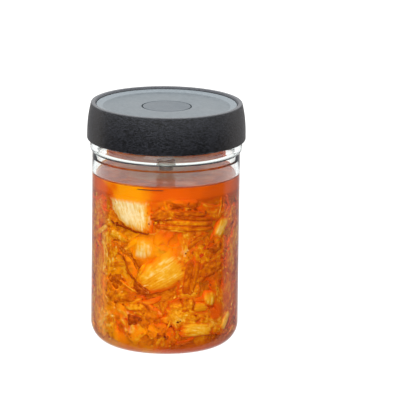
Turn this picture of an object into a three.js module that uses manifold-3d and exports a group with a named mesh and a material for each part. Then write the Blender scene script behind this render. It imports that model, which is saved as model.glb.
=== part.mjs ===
// A glass fermentation jar full of kimchi, shut by a dark moulded lid. The jar has a rolled bead
// under its mouth. The lid has a recessed top plate with a round valve button, and a steel valve
// stem hangs from the plate down to the brine.
// Millimetres, +Z up. The origin is the centre of the base, on the surface that the jar stands on,
// and the front is -Y.

import * as THREE from 'three';
import * as BufferGeometryUtils from 'three/addons/utils/BufferGeometryUtils.js';
import Module from 'manifold-3d';

// Glass jar
const JAR_RADIUS = 54;
const GLASS_WALL = 2.5;
const BASE_THICKNESS = 3;
const BASE_ROUNDING = 15.8;
const PUSH_UP_RADIUS = 30;
const PUSH_UP_FLAT = 22.5;
const PUSH_UP_HEIGHT = 1;
const BEAD_RADIUS = 55.75;
const BEAD_ROUNDING = 4.4;
const BEAD_HEIGHT = 146.9;
const NECK_RADIUS = 53.2;
const NECK_WALL = 3.6;
const INNER_STEP_FROM = 138;
const INNER_STEP_TO = 140.2;
const INNER_STEP_DEPTH = 0.6;
const INNER_HOLLOW_HEIGHT = 147;
const INNER_HOLLOW_TO = 154.5;
const INNER_HOLLOW_DEPTH = 1.5;
const MOUTH_HEIGHT = 169.6;

// Lid
const LID_HEIGHT = 179.4;
const LID_RADIUS = 58;
const LID_TOP_RADIUS = 55.3;
const LID_BULGE_POWER = 2.5;
const LID_FOOT_HEIGHT = 152.1;
const LID_FOOT_ROUNDING = 1.4;
const LID_BORE = 54.3;
const LID_EDGE_ROUNDING = 0.4;
const RIM_WIDTH = 2.8;
const RIM_INNER_LEAN = 0.9;
const RIM_INNER_DROP = 1.3;
const SHELF_RADIUS = 47;
const SHELF_THICKNESS = 2.2;
const PLATE_RECESS = 3;
const PLATE_BAND_WIDTH = 5;
const PLATE_BAND_DROP = 1.5;

// Valve
const BUTTON_RADIUS = 17.5;
const BUTTON_THICKNESS = 2;
const BUTTON_EDGE = 0.4;
const BUTTON_CROWN = 0.25;
const BUTTON_GROOVE = 0.9;
const STEM_RADIUS = 6.9;
const STEM_TIP_RADIUS = 5.1;
const STEM_STEP_HEIGHT = 130.3;
const STEM_BOTTOM = 125.2;
const STEM_COLLAR_RADIUS = 11;
const STEM_COLLAR_THICKNESS = 2;
const STEM_EDGE = 0.5;

// Kimchi: pieces of cabbage pressed against the glass, round a plain core
const CORE_RADIUS = 47;
const CORE_BOTTOM = 4.2;
const CORE_TOP = 116.5;
const CORE_LOWER_ROUNDING = 12;
const CORE_UPPER_ROUNDING = 4;
const HEAP_TOP = 121;
const WALL_PIECES_TOP = 118;
const WALL_PIECES_BOTTOM = 4.5;
const GLASS_CLEARANCE = 0.5;
const PIECE_ROOT_DEPTH = 7;
const PIECE_ROWS = 8;
const PIECES_IN_ROW = 9;
const FIRST_ROW_HEIGHT = 12;
const ROW_SPACING = 13.4;
const PLACE_JITTER = 0.3;
const TOP_PIECES = 9;
const TOP_PIECES_REACH = 35;
const HEAP_SEED = 41;

const FIT_GAP = 0.3;
const ROUND_STEPS = 48;
const SMALL_ROUND_STEPS = 24;

// An arc of a round profile, as [radius, height] points. Angles are in degrees from straight out.
function arc(centreR, centreZ, radius, fromDegrees, toDegrees, steps) {
  const points = [];
  for (let i = 0; i <= steps; i += 1) {
    const degrees = fromDegrees + (toDegrees - fromDegrees) * i / steps;
    const angle = THREE.MathUtils.degToRad(degrees);
    points.push([centreR + radius * Math.cos(angle), centreZ + radius * Math.sin(angle)]);
  }
  return points;
}

// A profile of [radius, height] points, turned round the Z axis.
function turned(profile, steps) {
  const points = profile.map(([radius, height]) => new THREE.Vector2(radius, height));
  const geometry = new THREE.LatheGeometry(points, steps);
  geometry.rotateX(Math.PI / 2);
  return geometry;
}

// Radius of the glass's inner surface at a height below the shoulder.
function insideRadius(height) {
  const wall = JAR_RADIUS - GLASS_WALL;
  const rounding = BASE_ROUNDING - GLASS_WALL;
  const below = Math.min(Math.max(BASE_THICKNESS + rounding - height, 0), rounding);
  return wall - rounding + Math.sqrt(rounding * rounding - below * below);
}

// A smooth step from 0 to 1.
function ease(share) {
  return (1 - Math.cos(Math.PI * share)) / 2;
}

// The glass: base with a shallow push-up, straight wall, bead, neck and rounded mouth. The inner
// wall follows the bead outward, with a small step at its foot, and closes in to the neck above it.
function glassJar() {
  const foot = JAR_RADIUS - BASE_ROUNDING;
  const beadCentre = BEAD_RADIUS - BEAD_ROUNDING;
  const beadStart = -THREE.MathUtils.radToDeg(Math.acos((JAR_RADIUS - beadCentre) / BEAD_ROUNDING));
  const beadEnd = THREE.MathUtils.radToDeg(Math.acos((NECK_RADIUS - beadCentre) / BEAD_ROUNDING));
  const mouthRounding = NECK_WALL / 2;
  const innerWall = JAR_RADIUS - GLASS_WALL;
  const innerNeck = NECK_RADIUS - NECK_WALL;
  const innerRounding = BASE_ROUNDING - GLASS_WALL;
  const hollow = innerWall + INNER_HOLLOW_DEPTH;
  const neckToHollow = [];
  const neckSteps = 3;
  for (let i = 0; i <= neckSteps; i += 1) {
    const share = i / neckSteps;
    neckToHollow.push([
      innerNeck + (hollow - innerNeck) * ease(share),
      INNER_HOLLOW_TO - (INNER_HOLLOW_TO - INNER_HOLLOW_HEIGHT) * share,
    ]);
  }
  return turned([
    [0, PUSH_UP_HEIGHT],
    [PUSH_UP_FLAT, PUSH_UP_HEIGHT],
    [PUSH_UP_RADIUS, 0],
    ...arc(foot, BASE_ROUNDING, BASE_ROUNDING, -90, 0, 5),
    ...arc(beadCentre, BEAD_HEIGHT, BEAD_ROUNDING, beadStart, beadEnd, 6),
    ...arc(NECK_RADIUS - mouthRounding, MOUTH_HEIGHT - mouthRounding, mouthRounding, 0, 180, 3),
    ...neckToHollow,
    [innerWall + INNER_STEP_DEPTH, INNER_STEP_TO],
    [innerWall, INNER_STEP_FROM],
    ...arc(innerWall - innerRounding, BASE_THICKNESS + innerRounding, innerRounding, 0, -90, 6),
    [0, BASE_THICKNESS],
  ], ROUND_STEPS);
}

// The lid's outer shell: a skirt with a gently bulging side and a rounded foot, a narrow flat rim,
// and a shelf inside that bears on the jar's mouth and carries the top plate.
function lidShell() {
  const side = [];
  const sideSteps = 6;
  const corner = LID_FOOT_HEIGHT + LID_FOOT_ROUNDING;
  const sideHeight = LID_HEIGHT - LID_EDGE_ROUNDING - corner;
  for (let i = 1; i <= sideSteps; i += 1) {
    const share = i / sideSteps;
    const drop = (LID_RADIUS - LID_TOP_RADIUS) * share ** LID_BULGE_POWER;
    side.push([LID_RADIUS - drop, corner + sideHeight * share]);
  }
  const rimInner = LID_TOP_RADIUS - RIM_WIDTH;
  const pocket = rimInner - RIM_INNER_LEAN;
  const shelfTop = shelfHeight() + SHELF_THICKNESS;
  return turned([
    [LID_BORE, LID_FOOT_HEIGHT],
    ...arc(LID_RADIUS - LID_FOOT_ROUNDING, corner, LID_FOOT_ROUNDING, -90, 0, 2),
    ...side,
    [LID_TOP_RADIUS - LID_EDGE_ROUNDING, LID_HEIGHT],
    [rimInner, LID_HEIGHT],
    [pocket, LID_HEIGHT - RIM_INNER_DROP],
    [pocket, shelfTop],
    [SHELF_RADIUS, shelfTop],
    [SHELF_RADIUS, shelfHeight()],
    [LID_BORE, shelfHeight()],
    [LID_BORE, LID_FOOT_HEIGHT],
  ], ROUND_STEPS);
}

function shelfHeight() {
  return MOUTH_HEIGHT + FIT_GAP;
}

function plateBottom() {
  return shelfHeight() + SHELF_THICKNESS + FIT_GAP;
}

// The top plate: a disc let into the shell, sloped down from its edge to a flat middle, with a
// round pocket for the button.
function lidPlate() {
  const edge = LID_TOP_RADIUS - RIM_WIDTH - RIM_INNER_LEAN - FIT_GAP;
  const top = LID_HEIGHT - PLATE_RECESS;
  return turned([
    [0, plateBottom()],
    [edge, plateBottom()],
    [edge, top + PLATE_BAND_DROP],
    [edge - PLATE_BAND_WIDTH, top],
    [BUTTON_RADIUS + BUTTON_GROOVE, top],
    [BUTTON_RADIUS + BUTTON_GROOVE, pocketFloor()],
    [0, pocketFloor()],
  ], ROUND_STEPS);
}

function pocketFloor() {
  return LID_HEIGHT - PLATE_RECESS - BUTTON_THICKNESS - FIT_GAP;
}

// The valve button: a round disc, flush with the plate, with a rounded edge and a slight crown.
function valveButton() {
  const bottom = pocketFloor() + FIT_GAP;
  const top = bottom + BUTTON_THICKNESS;
  const crown = [];
  const crownSteps = 2;
  for (let i = 1; i <= crownSteps; i += 1) {
    const share = i / crownSteps;
    crown.push([(BUTTON_RADIUS - BUTTON_EDGE) * (1 - share), top + BUTTON_CROWN * ease(share)]);
  }
  return turned([
    [0, bottom],
    [BUTTON_RADIUS - BUTTON_EDGE, bottom],
    [BUTTON_RADIUS, bottom + BUTTON_EDGE],
    [BUTTON_RADIUS, top - BUTTON_EDGE],
    [BUTTON_RADIUS - BUTTON_EDGE, top],
    ...crown,
  ], SMALL_ROUND_STEPS);
}

// The steel valve stem: a collar under the plate, a straight shank, a rounded step and a narrower
// tip that just dips into the brine.
function valveStem() {
  const top = plateBottom() - FIT_GAP;
  const step = STEM_RADIUS - STEM_TIP_RADIUS;
  return turned([
    [0, STEM_BOTTOM],
    [STEM_TIP_RADIUS - STEM_EDGE, STEM_BOTTOM],
    [STEM_TIP_RADIUS, STEM_BOTTOM + STEM_EDGE],
    [STEM_TIP_RADIUS, STEM_STEP_HEIGHT],
    ...arc(STEM_TIP_RADIUS, STEM_STEP_HEIGHT + step, step, -60, 0, 2),
    [STEM_RADIUS, top - STEM_COLLAR_THICKNESS],
    [STEM_COLLAR_RADIUS, top - STEM_COLLAR_THICKNESS],
    [STEM_COLLAR_RADIUS, top],
    [0, top],
  ], SMALL_ROUND_STEPS);
}

// Seeded random numbers from 0 to 1, the same in each run.
function seededRandom(seed) {
  let state = seed;
  return () => {
    state = (state + 0x6d2b79f5) | 0;
    let mixed = Math.imul(state ^ (state >>> 15), 1 | state);
    mixed = (mixed + Math.imul(mixed ^ (mixed >>> 7), 61 | mixed)) ^ mixed;
    return ((mixed ^ (mixed >>> 14)) >>> 0) / 4294967296;
  };
}

const wasm = await Module();
wasm.setup();

// A closed sheet of stepsU by stepsV cells. place(u, v, front) gives each corner, with u and v from
// -1 to 1. Both faces are split into triangles alike.
function sheetSolid(stepsU, stepsV, place) {
  const positions = [];
  const index = [];
  for (const front of [true, false]) {
    for (let i = 0; i <= stepsU; i += 1) {
      for (let j = 0; j <= stepsV; j += 1) {
        positions.push(...place(2 * i / stepsU - 1, 2 * j / stepsV - 1, front));
      }
    }
  }
  const back = (stepsU + 1) * (stepsV + 1);
  const at = (i, j) => i * (stepsV + 1) + j;
  for (let i = 0; i < stepsU; i += 1) {
    for (let j = 0; j < stepsV; j += 1) {
      const corners = [at(i, j), at(i + 1, j), at(i + 1, j + 1), at(i, j + 1)];
      const [a, b, c, d] = corners;
      index.push(a, b, c, a, c, d);
      index.push(back + a, back + c, back + b, back + a, back + d, back + c);
    }
  }
  const outline = [];
  for (let i = 0; i < stepsU; i += 1) outline.push(at(i, 0));
  for (let j = 0; j < stepsV; j += 1) outline.push(at(stepsU, j));
  for (let i = stepsU; i > 0; i -= 1) outline.push(at(i, stepsV));
  for (let j = stepsV; j > 0; j -= 1) outline.push(at(0, j));
  outline.forEach((a, k) => {
    const b = outline[(k + 1) % outline.length];
    index.push(a, back + a, back + b, a, back + b, b);
  });
  return new wasm.Manifold(new wasm.Mesh({
    numProp: 3,
    vertProperties: new Float32Array(positions),
    triVerts: new Uint32Array(index),
  }));
}

// The outline of a cut piece: a rectangle with rounded corners and unevenly torn edges. Returns the
// place on the piece, in millimetres, for u and v.
function pieceOutline(piece) {
  const turn = THREE.MathUtils.degToRad(piece.turn);
  return (u, v) => {
    const torn = 1 + piece.tear * Math.sin(3 * Math.atan2(v, u) + piece.phase);
    const along = u * Math.sqrt(1 - piece.corner * v * v) * torn * piece.length / 2;
    const across = v * Math.sqrt(1 - piece.corner * u * u) * torn * piece.width / 2;
    return [
      along * Math.cos(turn) - across * Math.sin(turn),
      along * Math.sin(turn) + across * Math.cos(turn),
    ];
  };
}

// How deep a piece's surface lies below its highest part: it falls at the edges and waves.
function pieceDepth(piece, u, v) {
  const edge = Math.max(Math.abs(u), Math.abs(v)) ** 4;
  const wave = 0.5 + 0.5 * Math.sin(piece.waves * u * Math.PI + 2 * v + piece.phase);
  return piece.depth + piece.edgeDrop * edge + piece.wave * wave;
}

// A piece that lies against the glass. Its root is inside the core.
function wallPiece(piece) {
  const outline = pieceOutline(piece);
  const centre = THREE.MathUtils.degToRad(piece.angle);
  return sheetSolid(piece.stepsU, piece.stepsV, (u, v, front) => {
    const [sideways, up] = outline(u, v);
    const z = Math.min(Math.max(piece.height + up, WALL_PIECES_BOTTOM), WALL_PIECES_TOP);
    const glass = insideRadius(z);
    const angle = centre + sideways / (JAR_RADIUS - GLASS_WALL);
    const depth = front ? GLASS_CLEARANCE + pieceDepth(piece, u, v) : PIECE_ROOT_DEPTH;
    const radius = glass - depth;
    return [radius * Math.sin(angle), -radius * Math.cos(angle), z];
  });
}

// A piece that lies on top of the heap.
function topPiece(piece) {
  const outline = pieceOutline(piece);
  return sheetSolid(piece.stepsU, piece.stepsV, (u, v, front) => {
    const [sideways, up] = outline(u, v);
    const z = front ? HEAP_TOP - pieceDepth(piece, u, v) : CORE_TOP - PIECE_ROOT_DEPTH;
    return [piece.x + sideways, piece.y + up, z];
  });
}

// The kinds of cut: thick pale stem, wavy leaf and narrow strip.
const CUTS = {
  stem: {
    length: [24, 32], width: [15, 22], corner: 0.25, tear: 0.04, wave: 0.3, waves: 0.5,
    depth: [0.5, 2], edgeDrop: 1.2, stepsU: 3, stepsV: 2,
  },
  leaf: {
    length: [26, 38], width: [15, 21], corner: 0.35, tear: 0.12, wave: 1.3, waves: 1.5,
    depth: [0.4, 1.8], edgeDrop: 0.8, stepsU: 4, stepsV: 2,
  },
  strip: {
    length: [24, 42], width: [6, 9], corner: 0.3, tear: 0.06, wave: 0.7, waves: 1,
    depth: [0.2, 1.4], edgeDrop: 0.6, stepsU: 4, stepsV: 1,
  },
};

// The pieces that show clearly from the front. Angles are in degrees from the front towards +X.
const FRONT_PIECES = [
  { cut: 'stem', angle: -29, height: 107, length: 32, width: 28, turn: 80 },
  { cut: 'leaf', angle: 9, height: 112, length: 22, width: 12, turn: 10 },
  { cut: 'strip', angle: 18, height: 104, length: 30, width: 7, turn: 4 },
  { cut: 'strip', angle: 19, height: 96, length: 32, width: 8, turn: -5 },
  { cut: 'stem', angle: 49, height: 94, length: 18, width: 12, turn: 70 },
  { cut: 'stem', angle: -17, height: 81, length: 16, width: 12, turn: 60 },
  { cut: 'leaf', angle: -44, height: 78, length: 34, width: 16, turn: -55 },
  { cut: 'leaf', angle: 26, height: 79, length: 34, width: 15, turn: 30 },
  { cut: 'stem', angle: -4, height: 64, length: 40, width: 26, turn: 12 },
  { cut: 'leaf', angle: 36, height: 60, length: 30, width: 24, turn: 65 },
  { cut: 'strip', angle: -61, height: 57, length: 42, width: 9, turn: 88 },
  { cut: 'leaf', angle: -28, height: 47, length: 34, width: 18, turn: -25 },
  { cut: 'stem', angle: 20, height: 40, length: 22, width: 13, turn: -15 },
  { cut: 'stem', angle: 42, height: 38, length: 20, width: 12, turn: 40 },
  { cut: 'leaf', angle: -6, height: 32, length: 34, width: 17, turn: 8 },
  { cut: 'strip', angle: 56, height: 26, length: 26, width: 8, turn: 75 },
  { cut: 'stem', angle: 28, height: 19, length: 25, width: 13, turn: 6 },
  { cut: 'leaf', angle: -42, height: 19, length: 30, width: 15, turn: -10 },
];

// Whether a front piece already lies over a place on the wall.
function covered(angle, height) {
  return FRONT_PIECES.some((place) => {
    const degrees = THREE.MathUtils.euclideanModulo(angle - place.angle + 180, 360) - 180;
    const sideways = THREE.MathUtils.degToRad(degrees) * (JAR_RADIUS - GLASS_WALL);
    const cover = 0.3 * place.length;
    return Math.hypot(sideways, height - place.height) < cover;
  });
}

function drawn(random, range) {
  return Array.isArray(range) ? range[0] + (range[1] - range[0]) * random() : range;
}

function cutPiece(random, place) {
  const cut = CUTS[place.cut];
  return {
    ...cut,
    length: drawn(random, cut.length),
    width: drawn(random, cut.width),
    depth: drawn(random, cut.depth),
    phase: 2 * Math.PI * random(),
    ...place,
  };
}

// The heap as one body: the core, the front pieces, rows of pieces round the rest of the wall and
// pieces laid on top.
function kimchi() {
  const random = seededRandom(HEAP_SEED);
  const kinds = ['leaf', 'stem', 'leaf', 'strip', 'stem'];
  const pieces = FRONT_PIECES.map((place) => wallPiece(cutPiece(random, { ...place, depth: 0 })));
  for (let row = 0; row < PIECE_ROWS; row += 1) {
    for (let k = 0; k < PIECES_IN_ROW; k += 1) {
      const stagger = 0.5 * (row % 2) + PLACE_JITTER * (random() - 0.5);
      const angle = 360 * (k + stagger) / PIECES_IN_ROW;
      const height = FIRST_ROW_HEIGHT + ROW_SPACING * (row + PLACE_JITTER * (random() - 0.5));
      const turn = 180 * random();
      const cut = kinds[Math.floor(kinds.length * random())];
      if (covered(angle, height)) continue;
      pieces.push(wallPiece(cutPiece(random, { cut, angle, height, turn })));
    }
  }
  const goldenAngle = Math.PI * (3 - Math.sqrt(5));
  for (let k = 0; k < TOP_PIECES; k += 1) {
    const out = TOP_PIECES_REACH * Math.sqrt((k + 0.5) / TOP_PIECES);
    const cut = kinds[k % kinds.length];
    pieces.push(topPiece(cutPiece(random, {
      cut,
      x: out * Math.cos(k * goldenAngle),
      y: out * Math.sin(k * goldenAngle),
      turn: 180 * random(),
    })));
  }
  const core = turned([
    [0, CORE_BOTTOM],
    ...arc(CORE_RADIUS - CORE_LOWER_ROUNDING, CORE_BOTTOM + CORE_LOWER_ROUNDING,
      CORE_LOWER_ROUNDING, -90, 0, 4),
    ...arc(CORE_RADIUS - CORE_UPPER_ROUNDING, CORE_TOP - CORE_UPPER_ROUNDING,
      CORE_UPPER_ROUNDING, 0, 90, 2),
    [0, CORE_TOP],
  ], SMALL_ROUND_STEPS);
  return joined(core, pieces);
}

// A geometry joined with solids, as one body.
function joined(geometry, solids) {
  geometry.deleteAttribute('normal');
  geometry.deleteAttribute('uv');
  const merged = BufferGeometryUtils.mergeVertices(geometry, 1e-4);
  const triangles = [];
  const index = merged.index.array;
  for (let i = 0; i < index.length; i += 3) {
    const [a, b, c] = index.slice(i, i + 3);
    if (a !== b && b !== c && c !== a) triangles.push(a, b, c);
  }
  let body = new wasm.Manifold(new wasm.Mesh({
    numProp: 3,
    vertProperties: new Float32Array(merged.attributes.position.array),
    triVerts: new Uint32Array(triangles),
  }));
  for (const solid of solids) body = body.add(solid);
  const mesh = body.getMesh();
  const result = new THREE.BufferGeometry();
  result.setAttribute('position', new THREE.BufferAttribute(mesh.vertProperties, 3));
  result.setIndex(new THREE.BufferAttribute(mesh.triVerts, 1));
  result.computeVertexNormals();
  return result;
}

const glass = new THREE.MeshStandardMaterial({
  color: 0xe6efee, roughness: 0.03, metalness: 0, transparent: true, opacity: 0.3,
});
const darkPlastic = new THREE.MeshStandardMaterial({ color: 0x3a3b40, roughness: 0.5, metalness: 0 });
const greyPlastic = new THREE.MeshStandardMaterial({ color: 0x54585c, roughness: 0.38, metalness: 0 });
const steel = new THREE.MeshStandardMaterial({ color: 0xc4c2bc, roughness: 0.25, metalness: 1 });
const cabbage = new THREE.MeshStandardMaterial({ color: 0xe89236, roughness: 0.4, metalness: 0 });

function sub(name, geometry, material) {
  const mesh = new THREE.Mesh(geometry, material);
  mesh.name = name;
  return mesh;
}

const jar = new THREE.Group();
jar.add(
  sub('glass_jar', glassJar(), glass),
  sub('lid_shell', lidShell(), darkPlastic),
  sub('lid_plate', lidPlate(), greyPlastic),
  sub('valve_button', valveButton(), greyPlastic),
  sub('valve_stem', valveStem(), steel),
  sub('kimchi', kimchi(), cabbage),
);

export default jar;
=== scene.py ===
"""A glass fermentation jar full of kimchi, shut by a dark moulded lid with a steel valve stem.

Metres, +Z up, the jar's front at -Y. The sections follow the jar as it is put together and filled.
"""

import math
from functools import partial

import bmesh
import bpy
import numpy as np
from mathutils import Matrix, Vector, noise


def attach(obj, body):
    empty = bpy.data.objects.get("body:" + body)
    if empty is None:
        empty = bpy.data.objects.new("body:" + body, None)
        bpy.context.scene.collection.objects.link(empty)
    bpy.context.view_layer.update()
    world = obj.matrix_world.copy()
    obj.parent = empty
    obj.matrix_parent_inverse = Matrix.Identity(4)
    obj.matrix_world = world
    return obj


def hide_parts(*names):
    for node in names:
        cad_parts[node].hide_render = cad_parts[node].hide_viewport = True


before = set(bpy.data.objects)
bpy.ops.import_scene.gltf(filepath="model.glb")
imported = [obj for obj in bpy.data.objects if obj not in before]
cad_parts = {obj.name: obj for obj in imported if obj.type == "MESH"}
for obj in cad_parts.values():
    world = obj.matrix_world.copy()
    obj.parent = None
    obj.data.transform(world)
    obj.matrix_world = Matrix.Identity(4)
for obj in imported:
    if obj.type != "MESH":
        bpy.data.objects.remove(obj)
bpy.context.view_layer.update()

# Glass jar
# Pressed soda-lime glass, fire polished: a straight body on a rounded foot with a shallow push-up,
# a rolled bead that the lid comes down to, and a plain neck with a rounded mouth above it.

JAR_RADIUS = 0.0540
GLASS_WALL = 0.0025
BASE_THICKNESS = 0.0030
BASE_ROUNDING = 0.0158
PUSH_UP_RADIUS = 0.0300
PUSH_UP_FLAT = 0.0225
PUSH_UP_HEIGHT = 0.0010
BEAD_RADIUS = 0.05575
BEAD_ROUNDING = 0.0044
BEAD_HEIGHT = 0.1469
NECK_RADIUS = 0.0532
NECK_WALL = 0.0036
INNER_STEP_FROM = 0.1380
INNER_STEP_TO = 0.1402
INNER_STEP_DEPTH = 0.0006
INNER_HOLLOW_HEIGHT = 0.1470
INNER_HOLLOW_TO = 0.1545
INNER_HOLLOW_DEPTH = 0.0015
MOUTH_HEIGHT = 0.1696
FILL_HEIGHT = 0.1270
MENISCUS_RISE = 0.0010
INNER_RADIUS = JAR_RADIUS - GLASS_WALL
INNER_ROUNDING = BASE_ROUNDING - GLASS_WALL
GLASS_IOR = 1.50
BRINE_IOR = 1.34
TURN_STEPS = 180


def arc(centre_radius, centre_height, rounding, start, end, steps=16):
    """Points of a round profile as (radius, height). Angles are in degrees from straight out."""
    angles = np.radians(np.linspace(start, end, steps + 1))
    return [
        (centre_radius + rounding * math.cos(a), centre_height + rounding * math.sin(a))
        for a in angles
    ]


def ease(share):
    """A smooth step from 0 to 1."""
    return (1 - math.cos(math.pi * share)) / 2


def turned(name, profile, closes=False):
    """A body turned round the Z axis. Its profile starts and ends on the axis or closes on itself."""
    turns = [2 * math.pi * k / TURN_STEPS for k in range(TURN_STEPS)]
    points = []
    rings = []
    for radius, height in profile:
        first = len(points)
        if radius == 0:
            points.append((0, 0, height))
            rings.append([first] * TURN_STEPS)
        else:
            points.extend((radius * math.cos(a), radius * math.sin(a), height) for a in turns)
            rings.append(list(range(first, first + TURN_STEPS)))
    faces = []
    for low, high in zip(rings, rings[1:] + rings[:1] if closes else rings[1:]):
        for k in range(TURN_STEPS):
            after = (k + 1) % TURN_STEPS
            corners = [low[k], low[after], high[after], high[k]]
            faces.append(tuple(dict.fromkeys(corners)))
    return body(name, points, [face for face in faces if len(face) > 2])


def placed(name, data):
    """An object in the scene, from its mesh, lamp or camera."""
    thing = bpy.data.objects.new(name, data)
    bpy.context.scene.collection.objects.link(thing)
    return thing


def body(name, points, faces, sharp_degrees=35):
    """An object with one closed mesh, its faces pointing out."""
    mesh = bpy.data.meshes.new(name)
    mesh.from_pydata(points, [], faces)
    shell = bmesh.new()
    shell.from_mesh(mesh)
    bmesh.ops.recalc_face_normals(shell, faces=shell.faces)
    shell.to_mesh(mesh)
    shell.free()
    mesh.shade_smooth()
    mesh.set_sharp_from_angle(angle=math.radians(sharp_degrees))
    return placed(name, mesh)


def coat(piece, *materials, second=None):
    """Gives a piece its materials. The second one goes on the faces for which second holds."""
    for material in materials:
        piece.data.materials.append(material)
    for face in piece.data.polygons if second else ():
        face.material_index = int(second(face))


def linear(hex_colour):
    """An sRGB hex colour as linear RGBA."""
    channels = [int(hex_colour[i:i + 2], 16) / 255 for i in (1, 3, 5)]
    values = [c / 12.92 if c <= 0.04045 else ((c + 0.055) / 1.055) ** 2.4 for c in channels]
    return (*values, 1.0)


def feed(node, inputs):
    """Fills a node's inputs with values, sockets or nodes, which give their first output."""
    for socket, value in dict(inputs).items():
        if isinstance(value, bpy.types.Node):
            value = value.outputs[0]
        if isinstance(value, bpy.types.NodeSocket):
            node.id_data.links.new(value, node.inputs[socket])
        else:
            node.inputs[socket].default_value = value


def add_node(tree, kind, inputs=(), stops=(), **settings):
    """Adds a shader node with its settings, its ramp's stops and what feeds its inputs."""
    node = tree.nodes.new("ShaderNode" + kind)
    for name, value in settings.items():
        setattr(node, name, value)
    for k, (place, colour) in enumerate(stops):
        elements = node.color_ramp.elements
        stop = elements[k] if k < len(elements) else elements.new(place)
        stop.position = place
        stop.color = linear(colour)
    feed(node, inputs)
    return node


def new_material(name, **surface):
    """A material with one Principled surface. Returns it, what adds its nodes, and its shader."""
    material = bpy.data.materials.new(name)
    material.use_nodes = True
    shader = material.node_tree.nodes["Principled BSDF"]
    for socket, value in surface.items():
        shader.inputs[socket.replace("_", " ")].default_value = value
    return material, partial(add_node, material.node_tree), shader


def clear(name, colour, ior, roughness, wave_length, wave_depth):
    """A clear material whose face has faint waves."""
    material, add, shader = new_material(
        name, Base_Color=linear(colour), Roughness=roughness, IOR=ior, Transmission_Weight=1.0,
    )
    place = add("TexCoord").outputs["Object"]
    waves = add("TexNoise", {"Vector": place, "Scale": 1 / wave_length, "Detail": 1.0})
    relief = add("Bump", {"Height": waves, "Strength": 1.0, "Distance": wave_depth})
    feed(shader, {"Normal": relief})
    return material


def soda_lime_glass(name, ior):
    """Pressed soda-lime glass. Fire polish leaves it clear, with long faint waves from the mould."""
    return clear(name, "#F8FCFB", ior, roughness=0.0, wave_length=0.030, wave_depth=0.00004)


bead_centre = BEAD_RADIUS - BEAD_ROUNDING
bead_start = -math.degrees(math.acos((JAR_RADIUS - bead_centre) / BEAD_ROUNDING))
bead_end = math.degrees(math.acos((NECK_RADIUS - bead_centre) / BEAD_ROUNDING))
inner_neck = NECK_RADIUS - NECK_WALL
mouth_rounding = NECK_WALL / 2
push_up = [
    (PUSH_UP_FLAT + (PUSH_UP_RADIUS - PUSH_UP_FLAT) * k / 8, PUSH_UP_HEIGHT * (1 - ease(k / 8)))
    for k in range(9)
]
hollow_radius = INNER_RADIUS + INNER_HOLLOW_DEPTH
neck_to_hollow = [
    (
        inner_neck + (hollow_radius - inner_neck) * ease(k / 16),
        INNER_HOLLOW_TO - (INNER_HOLLOW_TO - INNER_HOLLOW_HEIGHT) * k / 16,
    )
    for k in range(17)
]
step_to_wall = [
    (
        INNER_RADIUS + INNER_STEP_DEPTH * (1 - ease(k / 12)),
        INNER_STEP_TO - (INNER_STEP_TO - INNER_STEP_FROM) * k / 12,
    )
    for k in range(13)
]
dry_glass = [
    (0, PUSH_UP_HEIGHT),
    *push_up,
    *arc(JAR_RADIUS - BASE_ROUNDING, BASE_ROUNDING, BASE_ROUNDING, -90, 0, 28),
    *arc(bead_centre, BEAD_HEIGHT, BEAD_ROUNDING, bead_start, bead_end, 32),
    *arc(NECK_RADIUS - mouth_rounding, MOUTH_HEIGHT - mouth_rounding, mouth_rounding, 0, 180),
    *neck_to_hollow,
    *step_to_wall,
]
wet_glass = [
    (INNER_RADIUS, FILL_HEIGHT + MENISCUS_RISE),
    *arc(INNER_RADIUS - INNER_ROUNDING, BASE_THICKNESS + INNER_ROUNDING, INNER_ROUNDING, 0, -90, 28),
    (0, BASE_THICKNESS),
]
glass_jar = turned("jar_glass", dry_glass + wet_glass)
# Where brine wets the glass, light bends only by the small step from one to the other.
coat(
    glass_jar, soda_lime_glass("soda-lime glass", GLASS_IOR),
    soda_lime_glass("soda-lime glass against brine", GLASS_IOR / BRINE_IOR),
    second=lambda face: face.index >= len(dry_glass) * TURN_STEPS,
)
# Light is let straight through to the food, which the renderer would otherwise leave unlit.
glass_jar.visible_shadow = False
glass_jar.visible_diffuse = False
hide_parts("glass_jar")
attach(glass_jar, "root")

# Cloudy brine inside the heap
# Kimchi juice thick with chilli and starch, which can't be seen through beyond a few millimetres. It
# holds the cut cabbage together, so the heap's middle is one lumpy body with the pieces set in it.

CLOUD_DEPTH = 0.0030
CLOUD_TOP_DEPTH = 0.0012
CLOUD_BASE_DEPTH = 0.0003
CLOUD_TOP = FILL_HEIGHT - 0.0004
CLOUD_STEP = 0.001
TOLERANCE = 0.0001
PIECES_TOP = 0.1170
# The clear layer in front of it thins out from this far below the heap's top, over this height.
THINS_BELOW = 0.004
THINS_OVER = 0.006
# How uneven the heap's top is, over what heights its cabbage comes into view at the top and at the
# foot, and the share of a pocket's reach in which only brine shows.
HEAP_UNEVENNESS = 0.003
HEAP_WAVES = 4
TOP_BLEND = 0.006
FOOT_CLEAR = 0.005
FOOT_BLEND = 0.007
POCKET_CORE = 0.35
LUMP_SIZE = 0.016
LUMP_DEPTH = 0.0009
LUMP_INSET = 0.7
LUMP_FINENESS = 3
# Where clear orange brine shows between the pieces, as degrees from the front, height and reach.
POCKETS = [
    (-1, 0.0830, 0.0125), (-17, 0.0830, 0.0110), (-10, 0.0700, 0.0090), (47, 0.0310, 0.0060),
    (-38, 0.0125, 0.0060),
]


def cloud_depth(height):
    """How far inside the glass the cloudy brine starts. It is nearer the glass above the pieces."""
    share = min(max((height - PIECES_TOP + THINS_BELOW) / THINS_OVER, 0), 1)
    return CLOUD_DEPTH + (CLOUD_TOP_DEPTH - CLOUD_DEPTH) * ease(share)


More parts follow.
